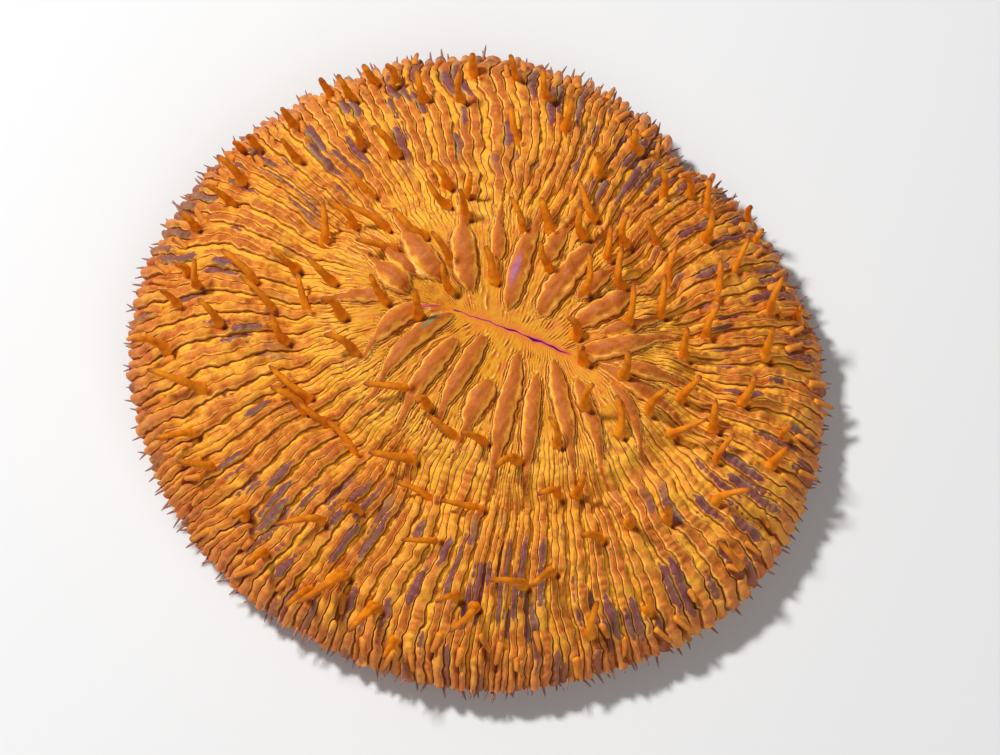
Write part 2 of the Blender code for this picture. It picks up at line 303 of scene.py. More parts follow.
def addLobes(turn, share, field):
    # Across a lobe the height is a quarter circle, and its half width is width * (4u(1-u))^0.42 along it.
    rows, step = share[:, 0] < lobeForm["lastShare"], 0.05
    turn, share = turn[rows], share[rows]
    aheadX, aheadY = groundPoint(turn + step, share)
    x, y = groundPoint(turn, share)
    spacing = np.hypot(aheadX - x, aheadY - y) / step
    rough = 1 + 0.05 * ripples(x, y, 1.3)
    bearing = bearingAt(turn)
    tailForm, moatForm, edgeWaves = lobeForm["tail"], lobeForm["moat"], lobeForm["edgeWaves"]
    relief = field["relief"][rows] * ramp(share, 0.26, 0.10)
    for fromTurn, fromShare, toTurn, toShare, width in lobeForm["places"]:
        phases, tone, skew = random.uniform(0, 6.28, 6), random.uniform(-1, 1), random.uniform(*lobeForm["skew"])
        length = lineLength((fromTurn + toTurn) / 2)
        along = share * length
        onCrest = np.clip(share, fromShare - 0.02, toShare + 0.05) - fromShare
        slant = (toTurn - fromTurn) / (toShare - fromShare)
        crest = fromTurn + slant * onCrest + 0.2 * waves(along, (6.0, 9.0), phases)
        across = around(turn - crest, coralForm["ridges"]) * spacing
        u = (share - fromShare) / (toShare - fromShare)
        tail = ramp(u, 0.6, 0.3) * (1 - ramp(share, toShare + 0.02, 0.10))
        beyond = np.maximum(np.maximum(fromShare - share, share - toShare - tailForm["length"]), 0) * length
        u = np.clip(u, 0, 1) ** skew
        taper = 4 * u * (1 - u)
        waved = 1 + edgeWaves * waves(along, (2.3, 3.7), phases[2:])
        halfWidth = lobeForm["fullness"] * width * taper ** 0.42 * waved * rough
        halfWidth = np.maximum(halfWidth, tailForm["halfWidth"] * tail * rough)
        distance, atLeast = np.hypot(across, beyond), np.maximum(halfWidth, 0.16)
        band, outside = distance / atLeast, distance - halfWidth
        dome = np.sqrt(np.clip(1 - np.minimum(band / 1.08, 1) ** 2.3, 0, 1))
        high = lobeForm["height"] * (0.65 + 0.35 * width) * np.maximum(taper, 0.02) ** 0.3
        rings = lobeForm["ringPitch"] * along + phases[5]
        ringed = lobeForm["ringDepth"] * ramp(u, 0.85, 0.2) * (0.5 + 0.5 * np.sin(rings))
        high = np.maximum(high, tailForm["height"] * tail) * (1 - ringed)
        relief = np.maximum(relief, high * dome * (1 + edgeWaves * waves(along, (1.9, 3.4), phases[4:])))
        # a moat runs round the lobe, deeper on its lower right side
        lean = -0.7 * np.sign(across) * (np.sin(bearing) + np.cos(bearing))
        moat = moatForm["depth"] + moatForm["shadedDepth"] * ramp(lean, -0.3, 0.9)
        relief = relief - moat * bell(outside - moatForm["away"], moatForm["halfWidth"])
        nearer = (outside < field["gap"][rows]) & (outside < 1.5)
        field["gap"][rows] = np.where(nearer, outside, field["gap"][rows])
        onLobe = {
            "band": band, "side": across / atLeast, "lobe": 1.0, "rise": 1.0, "ridge": 1.0, "tone": tone,
            "rings": rings, "ringed": 0.8 * ramp(u, 0.82, 0.18),
        }
        for name, value in onLobe.items():
            field[name][rows] = np.where(nearer & (band < 1.25), value, field[name][rows])
    field["relief"][rows] = relief


tabForm = {
    "count": 72, "shares": (0.83, 0.95), "length": (1.3, 2.7), "swing": 0.35, "foot": 0.42, "tip": 0.22,
    "lift": 0.75, "sides": 10, "rings": 9, "lineLength": 33,
}


def tabPlaces():
    # Short tentacles pressed against the slope near the rim: the turn and share of the foot, the length in mm
    # and the angle by which each swings off the straight way out.
    count = tabForm["count"]
    turn = (np.arange(count) + random.uniform(-0.45, 0.45, count)) * coralForm["ridges"] / count
    swing = random.uniform(-tabForm["swing"], tabForm["swing"], count)
    share = random.uniform(*tabForm["shares"], count)
    length = np.minimum(random.uniform(*tabForm["length"], count), 34 * (1 - share) + 0.2)
    return np.stack([turn, share, length, swing])


tabs = tabPlaces()
pitForm = {"beside": (0.72, -0.50), "radius": 0.46, "tabRadius": 0.40, "depth": 0.8}


def hollows(x, y):
    # 1 in the small pits beside the tentacles' feet and under the tabs, falling like a bell to their sides.
    hollow = np.zeros_like(x)
    feet = np.array(tentacleForm["places"], float)[:, :2] + np.array(coralForm["centre"]) + pitForm["beside"]
    for footX, footY in feet:
        near = (np.abs(x - footX) < 1.2) & (np.abs(y - footY) < 1.2)
        distance = np.hypot(x[near] - footX, y[near] - footY)
        hollow[near] = np.maximum(hollow[near], bell(distance, pitForm["radius"]))
    for turn, share, length, swing in tabs.T:
        footX, footY = groundPoint(turn, share, ridgeForm["spikeReach"])
        near = (np.abs(x - footX) < 4) & (np.abs(y - footY) < 4)
        out = bearingAt(turn) + swing
        ahead = (x[near] - footX) * math.cos(out) + (y[near] - footY) * math.sin(out)
        aside = (y[near] - footY) * math.cos(out) - (x[near] - footX) * math.sin(out) + 0.15
        distance = np.hypot(ahead - np.clip(ahead, 0.3 * length, 1.05 * length), aside)
        hollow[near] = np.maximum(hollow[near], bell(distance, pitForm["tabRadius"]))
    return hollow


surfaceForm = {
    "swelling": 0.35, "smallSwelling": 0.22,
    "trough": {"share": 0.49, "halfWidth": 0.055, "depth": 0.9, "turnedBy": 110},  # round the foot of the mound
    "linePitches": (5.3, 7.9, 11.3),  # fine lines near the lips, on the mound and further out
    "lineHeight": 0.17, "collarPitch": 0.34, "collarReach": 0.50,
    "bumps": 0.035, "rimBumps": 0.03, "lumps": 0.14,
    "toothRise": 1.0, "toneRise": 0.3, "gapDepth": 0.9, "ringHeight": 0.12,
    # a painted violet glint on one lobe and a soft blue-green mark on another: turn, change of turn with share,
    # share that turn is for, half width, share
    "violetGlint": (40.1, -10, 0.17, 0.9, 0.17), "tealMark": (86.0, 40, 0.09, 0.8, 0.10),
    "lipColour": 0.62,
}


def upperSide(shares):
    # Ground lines, the height curve, long soft swellings, the ridges, and fine lines between them.
    turn, field = ridgeGrid(shares)
    share = np.broadcast_to(shares[:, None], turn.shape)
    addLobes(turn, share, field)
    angle = turnAngle(turn)
    atRim = ramp(share, 0.86, 0.14)
    finger = np.sqrt(np.clip(1 - np.abs(field["side"]) ** 2.6, 0, 1))
    short = 0.5 * (1.2 - field["finger"]) + 0.22 * (1 - field["tone"])
    drawnIn = ridgeForm["spikeReach"] + (short + ridgeForm["fingerReach"] * (1 - finger)) * ramp(share, 0.9, 0.1)
    x, y = groundPoint(turn, share, drawnIn)
    z = smoothThrough(coralForm["heightShares"], coralForm["heights"], share)
    z = z + surfaceForm["swelling"] * np.sin(3 * angle + 1.0 + 5 * share) * np.sin(math.pi * share) ** 2
    small = surfaceForm["smallSwelling"] * np.sin(7 * angle - 7 * share + 2.0)
    z = z + small * ramp(share, 0.3, 0.3) * (1 - atRim)
    trough = surfaceForm["trough"]
    deep = 0.55 + 0.45 * np.cos(angle + math.radians(trough["turnedBy"]))
    z = z - trough["depth"] * (bell(share - trough["share"], trough["halfWidth"]) * deep)

    # lines run out from the mouth, and a collar of them runs round each lobe
    folds = 1.7 * ripples(x, y, 3.4)
    near, far = ramp(share, 0.08, 0.10), ramp(share, 0.22, 0.12)
    first, second, third = (np.sin(pitch * turn + folds) for pitch in surfaceForm["linePitches"])
    radial = first * (1 - near) + second * near * (1 - far) + third * far
    radial = radial * (0.6 + 0.4 * np.sin(1.9 * turn + 2 * folds))
    collar = np.cos(6.283 * field["gap"] / surfaceForm["collarPitch"] + 3.0)
    close = bell(np.maximum(field["gap"] - 0.2, 0), surfaceForm["collarReach"])
    lines = radial * (1 - close) * np.clip(0.6 + 0.6 * ripples(x, y, 1.6), 0, 1.2) + collar * close
    clear = ramp(field["gap"], 0.0, 0.12) * ramp(share, 0.010, 0.030) * (1 - ramp(share, 0.36, 0.12))
    z = z + surfaceForm["lineHeight"] * lines * clear
    bumps = surfaceForm["bumps"] + surfaceForm["rimBumps"] * atRim
    z = z + bumps * ripples(x, y, 0.8) * ramp(share, 0.05, 0.1)
    z = z + surfaceForm["lumps"] * ripples(x, y, 2.6) * ramp(share, 0.12, 0.2) * (1 - atRim)
    z = z + field["relief"] * (1 - 0.25 * atRim) * (1 - 0.35 * ramp(share, 0.975, 0.025))
    teeth = surfaceForm["toothRise"] * (field["finger"] - 1.0) + surfaceForm["toneRise"] * field["tone"]
    z = z + teeth * atRim - surfaceForm["gapDepth"] * (1 - finger) * ramp(share, 0.78, 0.2)
    field["hollow"] = hollows(x, y)
    z = z - pitForm["depth"] * field["hollow"]
    # rings cross one ridge in three below the mound's lower left and at its right, like stacked discs
    ring = np.sin(field["rings"])
    z = z + surfaceForm["ringHeight"] * ring * field["ringed"]
    # the flesh paints these lines and rings darker in their troughs and paler on their crests, as painted shade
    # and painted highlight; ring troughs count most
    field["lines"] = lines * clear + np.where(ring < 0, 0.7, 0.3) * ring * field["ringed"]

    def mark(at, slant, start, halfWidth, middle):
        aside = (turn - at - slant * (share - start)) / halfWidth
        return bell(np.hypot(aside, (share - middle) / 0.055), 1)

    # the violet painted glint lies along one lobe, the blue-green mark along the upper edge of another
    field["glint"] = mark(*surfaceForm["violetGlint"]) - mark(*surfaceForm["tealMark"])
    lip = bell(field["along"], 0.22) * (0.6 + 0.4 * ramp(np.cos(angle), 0.2, 0.3))
    # the lips' colour runs on a little past the slit's left end
    left = bell(turn - 74.2 - 38 * share, 1.3) * ramp(share, 0.03, 0.02) * (1 - ramp(share, 0.09, 0.02))
    field["lip"] = surfaceForm["lipColour"] * np.maximum(lip, left)
    return np.stack([x, y, z], axis=-1), field, share, turn


print("coral form ready")


def addAttribute(mesh, name, values):
    values = np.ascontiguousarray(values, np.float32)
    mesh.attributes.new(name, "FLOAT", "POINT").data.foreach_set("value", values.ravel())


# A closed-round sheet: rows of points, each row joined to the next all the way round.
def ringSheet(name, points, attributes, material, endPoint=None):
    rows, columns = points.shape[:2]
    here = np.arange(columns)
    ahead = (here + 1) % columns
    down = np.arange(rows - 1)[:, None] * columns
    quads = np.stack([down + here, down + columns + here, down + columns + ahead, down + ahead], axis=-1)
    quads = quads.reshape(-1, 4)
    vertices = points.reshape(-1, 3) * mm
    loops, starts, totals = [quads.ravel()], np.arange(len(quads)) * 4, np.full(len(quads), 4)
    if endPoint is not None:
        last = (rows - 1) * columns
        fan = np.stack([last + here, np.full(columns, len(vertices)), last + ahead], axis=-1)
        vertices = np.vstack([vertices, np.asarray(endPoint, float)[None] * mm])
        loops.append(fan.ravel())
        starts = np.concatenate([starts, len(quads) * 4 + np.arange(columns) * 3])
        totals = np.concatenate([totals, np.full(columns, 3)])
    return meshPiece(name, vertices, np.concatenate(loops), starts, totals, attributes, material)


def meshPiece(name, vertices, loops, starts, totals, attributes, material):
    mesh = bpy.data.meshes.new(name)
    mesh.vertices.add(len(vertices))
    mesh.vertices.foreach_set("co", np.ascontiguousarray(vertices, np.float32).ravel())
    mesh.loops.add(len(loops))
    mesh.loops.foreach_set("vertex_index", np.ascontiguousarray(loops, np.int32))
    mesh.polygons.add(len(starts))
    mesh.polygons.foreach_set("loop_start", np.ascontiguousarray(starts, np.int32))
    mesh.polygons.foreach_set("loop_total", np.ascontiguousarray(totals, np.int32))
    mesh.polygons.foreach_set("use_smooth", np.ones(len(starts), bool))
    mesh.update(calc_edges=True)
    for key, values in attributes.items():
        flat = np.ravel(values)
        flat = np.concatenate([flat, np.full(len(vertices) - len(flat), flat[-1])])
        addAttribute(mesh, key, flat)
    mesh.validate()
    piece = bpy.data.objects.new(name, mesh)
    bpy.context.scene.collection.objects.link(piece)
    mesh.materials.append(material)
    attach(piece, "root")
    return piece


# The fine grain of living tissue: a mottle, and a height made of the mottle and a finer noise.
def makeGrain():
    group = bpy.data.node_groups.new("flesh grain", "ShaderNodeTree")
    group.interface.new_socket("Grain Scale", in_out="INPUT", socket_type="NodeSocketFloat").default_value = 900
    for label in ("Mottle", "Height"):
        group.interface.new_socket(label, in_out="OUTPUT", socket_type="NodeSocketFloat")
    start, end = group.nodes.new("NodeGroupInput"), group.nodes.new("NodeGroupOutput")
    mottle = noiseOf(group, start.outputs["Grain Scale"], 3)
    fine = noiseOf(group, maths(group, "MULTIPLY", start.outputs["Grain Scale"], 3.8), 2)
    group.links.new(mottle, end.inputs["Mottle"])
    group.links.new(maths(group, "MULTIPLY_ADD", fine, 0.45, mottle), end.inputs["Height"])
    return group


def put(tree, kind, links=None, **values):
    # Adds a node, sets its properties, then its inputs by name or number, from values or from other sockets.
    node = tree.nodes.new(kind)
    for key, value in values.items():
        setattr(node, key, value)
    for key, value in (links or {}).items():
        if isinstance(value, bpy.types.NodeSocket):
            tree.links.new(value, node.inputs[key])
        else:
            node.inputs[key].default_value = value
    return node


def attribute(tree, name):
    return put(tree, "ShaderNodeAttribute", attribute_name=name).outputs["Fac"]


def maths(tree, operation, *inputs):
    return put(tree, "ShaderNodeMath", dict(enumerate(inputs)), operation=operation).outputs[0]

def times(tree, first, second):
    return maths(tree, "MULTIPLY", first, second)


def plus(tree, base, value, factor):
    # base + value * factor
    return maths(tree, "MULTIPLY_ADD", value, factor, base)


def centred(tree, noise):
    return maths(tree, "SUBTRACT", noise, 0.5)


def rampOf(tree, value, low, high):
    # 0 below low, 1 above high, smooth between. With low above high it falls instead.
    links = {"Value": value, "From Min": min(low, high), "From Max": max(low, high)}
    links.update({"To Min": 0.0, "To Max": 1.0} if low < high else {"To Min": 1.0, "To Max": 0.0})
    return put(tree, "ShaderNodeMapRange", links, interpolation_type="SMOOTHSTEP").outputs["Result"]


def blend(tree, amount, first, second):
    node = tree.nodes.new("ShaderNodeMix")
    node.data_type = "RGBA"
    for socket, value in ((node.inputs["Factor"], amount), (node.inputs[6], first), (node.inputs[7], second)):
        if isinstance(value, bpy.types.NodeSocket):
            tree.links.new(value, socket)
        else:
            socket.default_value = value
    return node.outputs[2]


def noiseOf(tree, scale, detail):
    links = {"Scale": scale, "Detail": detail, "Roughness": 0.55}
    links["Vector"] = put(tree, "ShaderNodeTexCoord").outputs["Object"]
    return put(tree, "ShaderNodeTexNoise", links).outputs["Fac"]


fleshLook = {
    # groove is painted shade: it darkens the grooves between ridges and the pits beside the tentacles' feet and
    # under the tabs
    "valley": (0.88, 0.425, 0.032, 1), "moundValley": (0.66, 0.285, 0.017, 1), "groove": (0.24, 0.052, 0.004, 1),
    # edge: a pale colour for the ridges' edge lines and the fine lines' crests, partly the tissue's yellow rim
    # and partly a painted highlight
    "edge": (1.0, 0.58, 0.18, 1), "lineTroughShade": (0.42, 0.135, 0.012, 1), "rimFlesh": (0.60, 0.19, 0.075, 1),
    "crest": (0.65, 0.196, 0.028, 1), "crestDark": (0.48, 0.112, 0.016, 1), "lobe": (0.47, 0.122, 0.018, 1),
    "strip": (0.66, 0.20, 0.020, 1), "purple": (0.225, 0.064, 0.060, 1), "rimPurple": (0.120, 0.050, 0.056, 1),
    "stainHeart": (0.185, 0.056, 0.074, 1), "beside": (0.50, 0.36, 0.11, 1), "teal": (0.25, 0.22, 0.12, 1),
    # glint is the colour of a painted violet highlight on one lobe
    "violet": (0.34, 0.04, 0.36, 1), "magenta": (0.55, 0.09, 0.13, 1), "glint": (0.40, 0.14, 0.30, 1),
    # glow: the flesh gives out light in its own colour, a painted glow
    "tealStreak": (0.17, 0.23, 0.13, 1), "glow": 0.08,
}
# what the flesh's material reads of each point: all but the last are columns of the field above
fleshKeys = (
    "band", "lobe", "side", "rings", "patch", "tone", "rise", "ridge", "lines", "lip", "glint", "hollow", "share",
)
fleshGrain = makeGrain()


def newSkin(name, grainScale, roughness, specular, glow=0.0):
    # A material with its grain: gives the node tree, the shader, and the grain's mottle and height.
    material = bpy.data.materials.new(name)
    material.use_nodes = True
    tree = material.node_tree
    surface = tree.nodes["Principled BSDF"]
    surface.inputs["Roughness"].default_value = roughness
    surface.inputs["Specular IOR Level"].default_value = specular
    # the skin gives out a little light in its own colour, a painted glow
    surface.inputs["Emission Strength"].default_value = glow
    grain = put(tree, "ShaderNodeGroup", node_tree=fleshGrain)
    grain.inputs["Grain Scale"].default_value = grainScale
    return material, tree, surface, grain.outputs["Mottle"], grain.outputs["Height"]


def finishSkin(tree, surface, colour, height, depth):
    tree.links.new(colour, surface.inputs["Base Color"])
    # the painted glow gives out the skin's own colour
    if surface.inputs["Emission Strength"].default_value > 0:
        tree.links.new(colour, surface.inputs["Emission Color"])
    bump = put(tree, "ShaderNodeBump", {"Height": height, "Strength": 0.8, "Distance": depth * mm})
    tree.links.new(bump.outputs[0], surface.inputs["Normal"])


def makeFlesh():
    material, tree, surface, mottle, grainHeight = newSkin("living flesh", 900, 0.48, 0.15, fleshLook["glow"])
    band, lobe, side, rings, patch, tone, rise, ridge, lines, lip, glint, hollow, share = (
        attribute(tree, key) for key in fleshKeys)
    broad, blotch = noiseOf(tree, 130, 2), noiseOf(tree, 330, 3)

    def lay(under, amount, over, strength=None):
        # lays a colour over another by a mask: each is a name in the look or comes from other nodes
        under, over = (fleshLook[one] if isinstance(one, str) else one for one in (under, over))
        return blend(tree, amount if strength is None else times(tree, amount, strength), under, over)

    # across a ridge band is 0 on the crest, 1 at the edge line and more in the groove
    ragged = plus(tree, band, centred(tree, mottle), 0.7)
    onTop = times(tree, rampOf(tree, plus(tree, ragged, lobe, -0.02), 0.84, 0.58), rise)
    # the pale edge line along each ridge's shoulder is partly the tissue's own yellow rim and partly a painted
    # highlight
    onEdge = times(tree, rampOf(tree, band, 0.80, 0.90), rampOf(tree, band, 1.04, 0.95))
    onEdge = times(tree, onEdge, ridge)
    # the grooves are darkened with painted shade, over a wider band towards the rim
    deeper = plus(tree, band, rampOf(tree, share, 0.78, 0.97), 0.10)
    grooveShade = times(tree, rampOf(tree, deeper, 1.005, 1.11), ridge)

    valley = lay("moundValley", ridge, "valley")
    valley = lay("crest", rampOf(tree, mottle, 0.30, 0.55), valley)
    # the fine lines are coloured darker in their troughs and paler on their crests: painted shade and painted
    # highlight that follow the lines' relief
    valley = lay(valley, rampOf(tree, lines, 0.0, -0.8), "lineTroughShade", 0.75)
    valley = lay(valley, rampOf(tree, lines, 0.25, 0.85), "edge", 0.75)
    valley = lay(valley, rampOf(tree, plus(tree, share, blotch, 0.07), 0.068, 0.032), "strip")
    crest = lay("crestDark", rampOf(tree, plus(tree, mottle, tone, 0.10), 0.32, 0.62), "crest")
    crest = lay(crest, rampOf(tree, blotch, 0.46, 0.66), "valley", 0.7)
    lobeSkin = lay("lobe", rampOf(tree, plus(tree, ragged, blotch, 0.5), 0.40, 1.05), "crest")
    crest = lay(crest, lobe, lobeSkin)

    # a stain covers a stretch of a ridge, with ragged ends, thin stripes across it, and grey-green on one side
    stripes = maths(tree, "SINE", plus(tree, rings, mottle, 3.0))
    stripes = times(tree, stripes, rampOf(tree, noiseOf(tree, 210, 2), 0.44, 0.62))
    wide = plus(tree, patch, centred(tree, broad), 2.2)
    wide = plus(tree, wide, centred(tree, noiseOf(tree, 480, 3)), 1.2)
    inside = maths(tree, "SUBTRACT", maths(tree, "MINIMUM", times(tree, wide, 2.0), 1.1), ragged)
    inside = plus(tree, inside, stripes, 0.28)
    inside = plus(tree, inside, centred(tree, noiseOf(tree, 1300, 2)), 1.2)
    stained = times(tree, rampOf(tree, share, 0.46, 0.62), maths(tree, "SUBTRACT", 1.0, lobe))
    stain = times(tree, rampOf(tree, inside, -0.20, 0.22), stained)
    green = times(tree, rampOf(tree, noiseOf(tree, 260, 2), 0.42, 0.54), rampOf(tree, side, 0.15, 0.60))
    beside = times(tree, times(tree, rampOf(tree, inside, -1.0, -0.3), green), stained)
    purple = lay("purple", rampOf(tree, inside, -0.05, 0.40), "stainHeart")
    purple = lay(purple, rampOf(tree, share, 0.84, 0.98), "rimPurple")
    purple = lay(purple, rampOf(tree, stripes, 0.0, 1.0), "crestDark", 0.25)
    purple = lay(purple, green, "teal", 0.8)
    crest = lay(crest, beside, "beside", 0.6)
    crest = lay(crest, stain, purple, 0.90)

    # the stain runs on over the edge line, and painted shade in the grooves and pits, the painted violet glint
    # and the blue-green mark lie over all
    onTop = maths(tree, "MAXIMUM", onTop, times(tree, stain, rampOf(tree, band, 1.02, 0.86)))
    edgeColour = lay(lay("edge", beside, "beside"), stain, purple, 0.6)
    colour = lay(valley, onTop, crest)
    colour = lay(colour, onEdge, edgeColour, 0.75)
    colour = lay(colour, grooveShade, "groove", 0.9)
    # the violet glint along one lobe is a painted highlight
    colour = lay(colour, rampOf(tree, glint, 0.15, 1.1), "glint", 0.9)
    colour = lay(colour, rampOf(tree, glint, -0.3, -0.8), "tealStreak")
    # the pits beside the tentacles' feet and under the tabs are darkened with painted shade
    colour = lay(colour, rampOf(tree, plus(tree, hollow, mottle, 0.3), 0.55, 1.05), "groove", 0.85)
    colour = lay(colour, rampOf(tree, share, 0.86, 1.0), "rimFlesh", 0.4)
    lipColour = lay("magenta", rampOf(tree, lip, 0.65, 0.95), "violet")
    colour = lay(colour, rampOf(tree, lip, 0.1, 0.6), lipColour)

    height = plus(tree, grainHeight, onEdge, 0.35)
    height = plus(tree, height, times(tree, stripes, stain), 0.10)
    finishSkin(tree, surface, colour, height, 0.2)
    return material


tentacleLook = {
    "tentacle": ((0.60, 0.150, 0.006, 1), (0.82, 0.255, 0.008, 1)),
    "tab": ((0.52, 0.150, 0.020, 1), (0.74, 0.255, 0.036, 1)),
    "foot": (0.84, 0.32, 0.016, 1), "tip": (0.20, 0.040, 0.014, 1), "glow": 0.06,
}
spikeLook = {"foot": (0.50, 0.15, 0.035, 1), "point": (0.30, 0.14, 0.12, 1), "glow": 0.04}
underLook = {
    "rib": (0.46, 0.12, 0.012, 1), "betweenRibs": (0.70, 0.27, 0.012, 1),
    "bareDark": (0.52, 0.42, 0.30, 1), "bareLight": (0.70, 0.60, 0.45, 1),
}


def makeTentacleSkin(kind):
    material, tree, surface, mottle, grainHeight = newSkin(kind + " skin", 900, 0.5, 0.12, tentacleLook["glow"])
    up = attribute(tree, "up")
    skin = blend(tree, rampOf(tree, mottle, 0.3, 0.7), *tentacleLook[kind])
    skin = blend(tree, rampOf(tree, up, 0.20, 0.03), skin, tentacleLook["foot"])
    skin = blend(tree, times(tree, rampOf(tree, up, 0.84, 1.0), 0.85), skin, tentacleLook["tip"])
    finishSkin(tree, surface, skin, grainHeight, 0.15)
    return material


def makeSpikeSkin():
    material, tree, surface, mottle, grainHeight = newSkin("rim spike", 1300, 0.4, 0.3, spikeLook["glow"])
    up = plus(tree, attribute(tree, "up"), centred(tree, mottle), 0.4)
    skin = blend(tree, rampOf(tree, up, 0.1, 0.8), spikeLook["foot"], spikeLook["point"])
    finishSkin(tree, surface, skin, grainHeight, 0.08)
    return material


def makeUnderSkin():
    material, tree, surface, mottle, grainHeight = newSkin("ribbed underside", 700, 0.75, 0.3)
    inward, band = attribute(tree, "inward"), attribute(tree, "band")
    flesh = blend(tree, rampOf(tree, band, 0.6, 1.1), underLook["rib"], underLook["betweenRibs"])
    bare = blend(tree, rampOf(tree, mottle, 0.35, 0.7), underLook["bareDark"], underLook["bareLight"])
    edge = maths(tree, "ADD", inward, times(tree, centred(tree, noiseOf(tree, 180, 3)), 0.5))
    finishSkin(tree, surface, blend(tree, rampOf(tree, edge, 0.28, 0.5), flesh, bare), grainHeight, 0.3)
    return material


fleshMaterial = makeFlesh()
print("materials ready")

tentacleForm = {
    # foot (x, y), then its length and bearing as seen from the front at 73 degrees up
    "places": (
        (30, 0, 3, 80), (24, 2, 3.5, 70), (34, 5, 1.5, 80), (15.5, 2.5, 4, 80), (10, 1.5, 2, 120),
        (31, 5.5, 3.5, 70), (19, 4, 4, 80), (25, 6, 4.5, 90), (27, 9.5, 4, 70), (20, 8, 4, 80),
        (15, 7, 4, 90), (30, 14, 1.5, 80), (11, 6, 4, 80), (24, 13, 3, 80), (29, 16.5, 1.5, 80),
        (19, 12, 3, 110), (24.5, 16.5, 3.5, 90), (13.5, 10, 3.5, 80), (15.5, 12, 3, 90),
        (22.5, 18.5, 2, 100), (19.5, 18, 3, 90), (7.5, 8.5, 3, 110), (11, 12.5, 3, 90), (12, 15, 4, 110),
        (17, 23.5, 2, 90), (12.5, 20, 2, 90), (7.5, 13, 3.5, 110), (4.5, 13, 3.5, 110), (9, 25.5, 3.5, 70),
        (7.5, 29.5, 3, 100), (1.5, 7.5, 3.5, 100), (4, 24, 4, 100), (4, 32, 2.5, 110),
        (-0.5, 32.5, 2.5, 100), (-2, 29, 3, 90), (-1.5, 17, 2.5, 80), (-1.5, 14.5, 2.5, 100),
        (-3.5, 18.5, 3, 120), (-6, 29.5, 3, 100), (-3.5, 16, 3, 130), (-9.5, 31.5, 2, 110),
        (-3, 9.5, 3.5, 130), (-11.5, 32, 2, 130), (-9, 22.5, 3.5, 130), (-14, 30, 2.5, 120),
        (-6, 12.5, 4, 140), (-3, 6.5, 3, 110), (-16, 30.5, 2, 120), (-13, 23.5, 2.5, 120),
        (-11.5, 18, 4, 130), (-10, 13.5, 5, 150), (-20, 26.5, 2, 130), (-9, 11, 4, 170),
        (-19.5, 22, 2.5, 130), (-13.5, 14, 3.5, 130), (-24, 24, 1.5, 130), (-26, 24.5, 1, 130),
        (-25.5, 20, 3.5, 140), (-16.5, 12.5, 4, 90), (-26.5, 17.5, 3, 150), (-6.5, 3.5, 2.5, 90),
        (-10, 5, 3, 120), (-15.5, 7.5, 3.5, 140), (-30.5, 15, 2, 140), (-19.5, 9.5, 3, 140),
        (-24, 8, 4.5, 130), (-31, 9.5, 1.5, 140), (-30, 8, 2.5, 90), (-14.5, 3.5, 2.5, 140),
        (-18, 4.5, 4, 100), (-22, 5, 4.5, 140), (-32, 6, 2, 140), (-27.5, 3.5, 3, 130),
        (-20.5, 1.5, 3, 110), (-33, 1, 3.5, 160), (-13, -0.5, 3.5, 150), (-29, -3.5, 6, 160),
        (-18, -4.5, 5, 140), (-30, -8, 4, 190), (-18.5, -6, 4, 140), (-28, -11.5, 3.5, 170),
        (-15.5, -7.5, 4, 150), (-7.5, -4.5, 4.5, 170), (-24.5, -17, 1, 190), (-13, -10.5, 4.5, 130),
        (-16.5, -18, 4.5, 180), (-5.5, -6.5, 1, 160), (-12.5, -17, 1.5, 190), (-14, -23.5, 5.5, 210),
        (-7, -11.5, 4.5, 170), (-10.5, -27, 3.5, 220), (-5, -15.5, 4, 150), (-2.5, -9.5, 3.5, 140),
        (-4.5, -20, 3.5, 180), (-2.5, -26, 2, 200), (-0.5, -27, 3.5, 230), (0, -16.5, 4, 170),
        (0.5, -10, 2.5, 160), (4.5, -25, 3.5, 170), (7.5, -23.5, 2.5, 210), (4, -12, 2.5, 200),
        (11.5, -29.5, 3.5, 80), (8, -15.5, 2, 170), (12.5, -20, 2, 170), (10, -15.5, 2.5, 70),
        (17.5, -27, 2, 90), (8, -10.5, 3, 100), (15.5, -18.5, 1, 90), (19.5, -18, 1.5, 90),
        (27, -22, 3.5, 130), (14.5, -9.5, 4, 90), (24.5, -16, 4, 20), (11, -7, 2.5, 70),
        (24.5, -11.5, 3.5, 60), (20, -9, 4, 20), (17.5, -7, 3, 50), (30.5, -11.5, 2.5, 50),
        (24.5, -8, 3, 90), (32, -8.5, 1.5, 70), (21, -5, 3, 50), (15, -3.5, 2.5, 80), (27.5, -5, 3, 60),
        (11, -1.5, 1.5, 90), (21.5, -0.5, 3, 80), (-14.1, -23.4, 3.8, 213), (-11.2, -26.4, 3.2, 224),
        (-17.4, -24.7, 3.0, 213), (-22.4, -20.8, 2, 221), (-8.8, -29.9, 2, 240),
    ),
    "length": (4.3, 5.0), "foot": 0.72, "waist": 0.50, "tip": 0.25, "sides": 14, "rings": 16,
    "sunk": 0.55,  # how deep the foot starts in the flesh
    "viewSine": 0.956, "viewCosine": 0.292,  # of the height of 73 degrees that they are seen from
}

sheetNames = ("oralDisc", "ridgeRoots", "ridgeField", "ridgeRim")
sheetShares, sheetRows = (0.0, 0.38, 0.60, 0.81, 1.0), 52
spans = [np.linspace(low, high, sheetRows)[:-1] for low, high in zip(sheetShares, sheetShares[1:])]
points, field, share, gridTurns = upperSide(np.concatenate(spans + [[1.0]]))


def fleshSheet(number):
    rows = slice(number * (sheetRows - 1), (number + 1) * (sheetRows - 1) + 1)
    found = {key: field[key][rows] for key in fleshKeys[:-1]}
    return ringSheet(sheetNames[number], points[rows], dict(found, share=share[rows]), fleshMaterial)


oralDisc = fleshSheet(0)
for number in range(1, len(sheetNames)):
    fleshSheet(number)
print("upper side built")

mouthForm = {"rows": 12}


